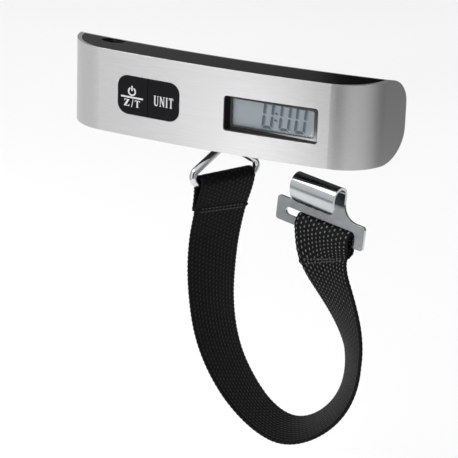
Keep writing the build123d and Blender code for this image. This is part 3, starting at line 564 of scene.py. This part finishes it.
class Webbing:
    """Centre line and twisting frame of the strap, by distance along it in millimetres."""

    def __init__(self):
        tilt, yaw = math.radians(-HOOK_TILT), math.radians(HOOK_YAW)
        self.last = np.array([math.sin(tilt) * math.cos(yaw), math.sin(tilt) * math.sin(yaw), math.cos(tilt)])
        self.first = np.array([0.0, 0.0, -1.0])
        route = [(x, STRAP_Y, z) for x, z, yaw in STRAP_ROUTE]
        knots, place = clamped_spline(route, self.first, self.last)
        fine = np.linspace(0, knots[-1], 1600)
        self.points = np.array([place(t) for t in fine])
        self.at = np.concatenate([[0], np.cumsum(np.linalg.norm(np.diff(self.points, axis=0), axis=1))])
        self.length = self.at[-1]
        self.route_at = np.interp(knots, fine, self.at)
        self.yaws = [yaw for x, z, yaw in STRAP_ROUTE]

    def centre(self, at):
        """Point at a distance, carried straight on past either end."""
        inside = min(max(at, 0.0), self.length)
        point = np.array([np.interp(inside, self.at, self.points[:, k]) for k in range(3)])
        if at < 0:
            point = point + self.first * at
        if at > self.length:
            point = point + self.last * (at - self.length)
        return point

    def frame(self, at):
        """Centre, width direction and inner-face normal at a distance."""
        along = self.centre(at + FRAME_STEP) - self.centre(at - FRAME_STEP)
        along /= np.linalg.norm(along)
        yaw = math.radians(np.interp(at, self.route_at, self.yaws))
        flat = np.array([math.cos(yaw), math.sin(yaw), 0.0])
        wide = flat - along * flat.dot(along)
        wide /= np.linalg.norm(wide)
        slide = SLIDE * ease((at - self.length + SLIDE_RUN) / (SLIDE_RUN - SLIDE_END))
        return self.centre(at) + wide * slide, wide, np.cross(along, wide)


def ease(t):
    """0 to 1 with a level start and end."""
    t = min(max(t, 0.0), 1.0)
    return t * t * (3 - 2 * t)


def fold_profile(depth, rise):
    """A doubled end from its cut edge to its seam: (distance from the bar, offset from the centre line)."""
    hem = STRAP_T + PLY_GAP
    stops = [(s, -(hem + (depth - hem) * max(0.0, 1 - s / SEAM))) for s in np.arange(HEM_END, 0, -STATION)]
    stops += [(-rise * math.sin(a), -depth * math.cos(a)) for a in np.linspace(0, math.pi, FOLD_STEPS)]
    stops += [(s, depth * (1 - s / SEAM) ** FOLD_TAPER) for s in np.arange(STATION, SEAM, STATION)]
    return stops


def strap_path(webbing_line):
    """The whole band from the ring's cut edge to the hook's, in rows of (middle, width direction, from_bar).

    from_bar is the distance to the nearer bar on the front ply and the loop, and 0 on the hidden ply.
    """
    stops = fold_profile(*RING_FOLD)
    start, end = SEAM, webbing_line.length - SEAM
    stops += [(s, 0.0) for s in np.linspace(start, end, int((end - start) / STATION))]
    stops += [(webbing_line.length - s, offset) for s, offset in reversed(fold_profile(*HOOK_FOLD))]
    rows = []
    for s, offset in stops:
        centre, wide, inner = webbing_line.frame(s)
        from_bar = min(s, webbing_line.length - s) if offset >= 0 else 0.0
        rows.append((centre + inner * offset, wide, from_bar))
    return rows


def band_section():
    """Places across the webbing, and half its thickness at each: thinner at the rounded selvedges."""
    half = STRAP_W / 2
    across = np.linspace(-half, half, COLUMNS + 1)
    into_edge = 1 - np.minimum((half - np.abs(across)) / SELVEDGE, 1)
    share = np.sqrt(1 - into_edge ** 2) * (1 - SELVEDGE_THIN) + SELVEDGE_THIN
    return across, share * STRAP_T / 2


def band_faces(count, sections):
    """Faces of a closed band: two sides of count points a section, two selvedges and two cut ends."""
    faces = []
    ring = 2 * count
    for a in range(0, (sections - 1) * ring, ring):
        b = a + ring
        for k in range(count - 1):
            faces.append((a + k, a + k + 1, b + k + 1, b + k))
            faces.append((a + count + k + 1, a + count + k, b + count + k, b + count + k + 1))
        for k in (0, count - 1):
            faces.append((a + k, b + k, b + count + k, a + count + k))
    for a in (0, (sections - 1) * ring):
        faces += [(a + k + 1, a + k, a + count + k, a + count + k + 1) for k in range(count - 1)]
    return faces


def make_strap(webbing_line, material):
    """The band with its weave and seams in relief, and its length along the middle in millimetres."""
    rows = strap_path(webbing_line)
    middles = np.array([middle for middle, wide, from_bar in rows])
    wides = np.array([wide for middle, wide, from_bar in rows])
    along = np.gradient(middles, axis=0)
    normals = np.cross(along, wides)
    normals /= np.linalg.norm(normals, axis=1)[:, None]
    run = np.concatenate([[0], np.cumsum(np.linalg.norm(np.diff(middles, axis=0), axis=1))])
    length = run[-1]
    across, thick = band_section()
    count = len(across)
    points, weave = [], []
    for i, v in enumerate(length - run):
        weft = math.cos(2 * math.pi * v / YARN_L)
        seam = math.exp(-((rows[i][2] - SEAM) / SEAM_SPREAD) ** 2)
        ripple = 1 + WEFT_RIPPLE * weft + SLACK_RIPPLE * math.sin(v * SLACK_RATE) + SEAM_PULL * seam
        cut = min(1.0, CUT_THIN + min(v, length - v) * CUT_RATE)
        for side in (1, -1):
            for k, u in enumerate(across):
                warp = math.cos(2 * math.pi * u / YARN_W)
                turn = math.copysign(1, math.cos(math.pi * u / YARN_W))
                is_edge = k in (0, count - 1)
                floats = 0 if is_edge else YARN_RISE * (0.5 + 0.5 * warp) * (0.5 + 0.5 * weft * turn)
                height = side * (thick[k] * cut - YARN_RISE / 2 + floats) + SEAM_BULGE * seam * (side > 0)
                points.append((middles[i] + wides[i] * u * ripple + normals[i] * height) * MM)
                weave.append((u * MM, v * MM))
    strap = mesh_object("webbing_strap", points, band_faces(count, len(run)), material, smooth=True)
    layer = strap.data.uv_layers.new(name="weave")
    corners = np.empty(len(strap.data.loops), np.int32)
    strap.data.loops.foreach_get("vertex_index", corners)
    layer.data.foreach_set("uv", np.array(weave, np.float32)[corners].ravel())
    outward(strap.data)
    return strap, length


def tube_faces(base, rings, sides):
    """Faces of a closed tube whose rings of points start at base."""
    faces = []
    for r in range(rings - 1):
        for k in range(sides):
            a, b = base + r * sides + k, base + r * sides + (k + 1) % sides
            faces.append((a, b, b + sides, a + sides))
    last = base + (rings - 1) * sides
    faces.append(tuple(base + k for k in reversed(range(sides))))
    faces.append(tuple(last + k for k in range(sides)))
    return faces


def bar_tack(name, webbing_line, places, material):
    """Rows of short raised stitches across a doubled end, on both of its faces."""
    reach = STRAP_W / 2 - STITCH_INSET
    half = STITCH_PITCH * STITCH_SHARE
    points, faces = [], []
    for place in places:
        centre, wide, inner = webbing_line.frame(place)
        along = np.cross(wide, inner)
        for offset, out in ((STITCH_FRONT, 1), (STITCH_BACK, -1)):
            for n in range(int(2 * reach / STITCH_PITCH)):
                middle = -reach + STITCH_PITCH * (n + 0.5)
                faces += tube_faces(len(points), len(STITCH_PROFILE), STITCH_SIDES)
                for t, fat in STITCH_PROFILE:
                    for k in range(STITCH_SIDES):
                        a = 2 * math.pi * k / STITCH_SIDES
                        aside = math.cos(a) * STITCH_R * fat
                        lift = (math.sin(a) * fat + (fat - 1) * STITCH_SINK) * STITCH_R
                        points.append((centre + wide * (middle + half * t) + along * aside
                                       + inner * (offset + out * lift)) * MM)
    tack = mesh_object(name, points, faces, material, smooth=True)
    outward(tack.data)
    return tack


# ---------------------------------------------------------------- display and printed marks
def digit_outlines(left):
    """Seven-segment zero: every segment but the middle one."""
    w, h, t, g = DIGIT_W, DIGIT_H, SEGMENT_W, SEGMENT_GAP
    mid, tip = h / 2, g + t * SEGMENT_TIP
    shapes = [
        [(tip, h), (w - tip, h), (w - t - g, h - t), (t + g, h - t)],
        [(tip, 0), (t + g, t), (w - t - g, t), (w - tip, 0)],
    ]
    for x0, x1 in ((0, t), (w, w - t)):
        for z0, z1 in ((tip, mid - g), (h - tip, mid + g)):
            bevel = t if z1 > z0 else -t
            shapes.append([(x0, z0), (x1, z0 + bevel * SEGMENT_MITRE), (x1, z1 - bevel * SEGMENT_POINT),
                           ((x0 + x1) / 2, z1), (x0, z1 - bevel * SEGMENT_POINT)])
    return [[(left + x + DIGIT_SLANT * z, DIGIT_LOW_Z + z) for x, z in shape] for shape in shapes]


def circle(x, z, radius, count=14):
    return [(x + radius * math.cos(2 * math.pi * k / count), z + radius * math.sin(2 * math.pi * k / count))
            for k in range(count)]


def make_display(material, shadow_material):
    """The digits and, behind them, the shadow they cast on the reflector."""
    outlines = [outline for left in DIGIT_LEFTS for outline in digit_outlines(left)]
    outlines += [circle(x, z, COLON_R) for x, z in COLON]
    cast = [[(x + DIGIT_SHADOW[0], z + DIGIT_SHADOW[1]) for x, z in outline] for outline in outlines]
    for name, shapes, height, look in (("display_digits", outlines, DISPLAY_PROUD, material),
                                       ("display_digit_shadows", cast, SHADOW_PROUD, shadow_material)):
        digits = outline_plates(name, shapes, height, look)
        press_onto(digits, "lcd_panel")
        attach(digits, "housing")


def arc(x, z, radius, degrees0, degrees1, count):
    angles = (math.radians(degrees0 + (degrees1 - degrees0) * k / count) for k in range(count + 1))
    return [(x + radius * math.cos(a), z + radius * math.sin(a)) for a in angles]


GLYPHS = {
    "U": [(-0.36, 1), (-0.06, 1), (-0.06, 1 - SERIF), (-0.12, 1 - SERIF)] + arc(0.03, 0.25, 0.15, 180, 360, 8)
         + [(0.18, 1 - SERIF), (0.12, 1 - SERIF), (0.12, 1), (0.33, 1), (0.33, 1 - SERIF), (0.26, 1 - SERIF)]
         + arc(-0.02, 0.26, 0.28, 0, -180, 12) + [(-0.30, 1 - SERIF), (-0.36, 1 - SERIF)],
    "N": [(-0.36, 1), (-0.15, 1), (0.18, 0.30), (0.18, 1 - SERIF), (0.12, 1 - SERIF), (0.12, 1), (0.34, 1),
          (0.34, 1 - SERIF), (0.27, 1 - SERIF), (0.27, 0), (0.16, 0), (-0.20, 0.76), (-0.20, SERIF),
          (-0.13, SERIF), (-0.13, 0), (-0.36, 0), (-0.36, SERIF), (-0.29, SERIF), (-0.29, 1 - SERIF),
          (-0.36, 1 - SERIF)],
    "I": [(-0.15, 0), (0.15, 0), (0.15, SERIF), (0.09, SERIF), (0.09, 1 - SERIF), (0.15, 1 - SERIF),
          (0.15, 1), (-0.15, 1), (-0.15, 1 - SERIF), (-0.09, 1 - SERIF), (-0.09, SERIF), (-0.15, SERIF)],
    "T": [(-0.31, 1), (0.31, 1), (0.31, 0.76), (0.27, 0.76), (0.22, 0.92), (0.09, 0.92), (0.09, SERIF),
          (0.16, SERIF), (0.16, 0), (-0.16, 0), (-0.16, SERIF), (-0.09, SERIF), (-0.09, 0.92), (-0.22, 0.92),
          (-0.27, 0.76), (-0.31, 0.76)],
    "Z": [(-0.34, 1), (0.36, 1), (0.36, 0.93), (-0.08, 0.09), (0.22, 0.09), (0.31, 0.28), (0.37, 0.28),
          (0.37, 0), (-0.38, 0), (-0.38, 0.07), (0.07, 0.91), (-0.18, 0.91), (-0.28, 0.74), (-0.34, 0.74)],
    "/": [(-0.14, -0.08), (-0.04, -0.08), (0.16, 1.06), (0.06, 1.06)],
}


def glyph(letter, x, width, z, height):
    """A letter's outline, its foot centred on (x, z)."""
    return [(x + px * width, z + pz * height) for px, pz in GLYPHS[letter]]


def rectangle(x0, x1, z0, z1):
    return [(x0, z0), (x1, z0), (x1, z1), (x0, z1)]


def make_marks(material):
    """The power sign over zero/tare on one key, and the unit sign on the other."""
    start, end = 90 + POWER_OPEN_DEG, 450 - POWER_OPEN_DEG
    ring = (arc(POWER_X, POWER_Z, POWER_R0, start, end, POWER_STEPS)
            + arc(POWER_X, POWER_Z, POWER_R1, end, start, POWER_STEPS))
    stem = rectangle(POWER_X - STEM_HALF, POWER_X + STEM_HALF, STEM_LOW, STEM_TOP)
    bar = rectangle(*BAR_X, *BAR_Z)
    signs = [glyph(letter, x, width, ZERO_TARE_Z, ZERO_TARE_H) for letter, x, width in ZERO_TARE]
    power = outline_plates("power_marks", [ring, stem, bar] + signs, PRINT_PROUD, material)
    press_onto(power, "power_button")
    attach(power, "power_key")
    letters = [glyph(letter, x, width, UNIT_Z, UNIT_H) for letter, x, width in UNIT]
    unit = outline_plates("unit_marks", letters, PRINT_PROUD, material)
    press_onto(unit, "unit_button")
    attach(unit, "unit_key")


# ---------------------------------------------------------------- assembly
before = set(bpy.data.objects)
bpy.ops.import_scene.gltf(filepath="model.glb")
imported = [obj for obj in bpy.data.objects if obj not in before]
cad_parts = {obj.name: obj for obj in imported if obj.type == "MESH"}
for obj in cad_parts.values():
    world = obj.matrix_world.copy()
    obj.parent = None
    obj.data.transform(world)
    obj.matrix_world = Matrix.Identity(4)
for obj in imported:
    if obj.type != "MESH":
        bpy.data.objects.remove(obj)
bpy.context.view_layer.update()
slot_of = {node: part.data.materials[0].name.split(".")[0] for node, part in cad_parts.items()}
materials = make_materials()
for node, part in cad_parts.items():
    part.material_slots[0].material = materials[slot_of[node]]

add_camera()
add_studio()

line = Webbing()
strap, strap_length = make_strap(line, materials["black_webbing"])
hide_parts("strap_ring_side", "strap_hook_side")
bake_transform(strap)

stitching = thread()
ring_tack = bar_tack("ring_end_stitching", line, [SEAM + row for row in BAR_TACK], stitching)
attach(ring_tack, "strap_upper")
hook_tack = bar_tack("hook_end_stitching", line, [line.length - SEAM - row for row in BAR_TACK], stitching)
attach(hook_tack, "strap_lower")

segment = fine_look(
    "lcd_segment", (0.085, 0.135, 0.175), (0.12, 0.175, 0.22), 0.4, scale=500, Specular_IOR_Level=0.2)
segment_shadow = fine_look(
    "lcd_segment_shadow", (0.36, 0.42, 0.46), (0.42, 0.48, 0.52), 0.4, scale=500, Specular_IOR_Level=0.2)
make_display(segment, segment_shadow)
make_marks(fine_look("pad_print", (0.50, 0.50, 0.52), (0.60, 0.60, 0.62), 0.5, scale=900))
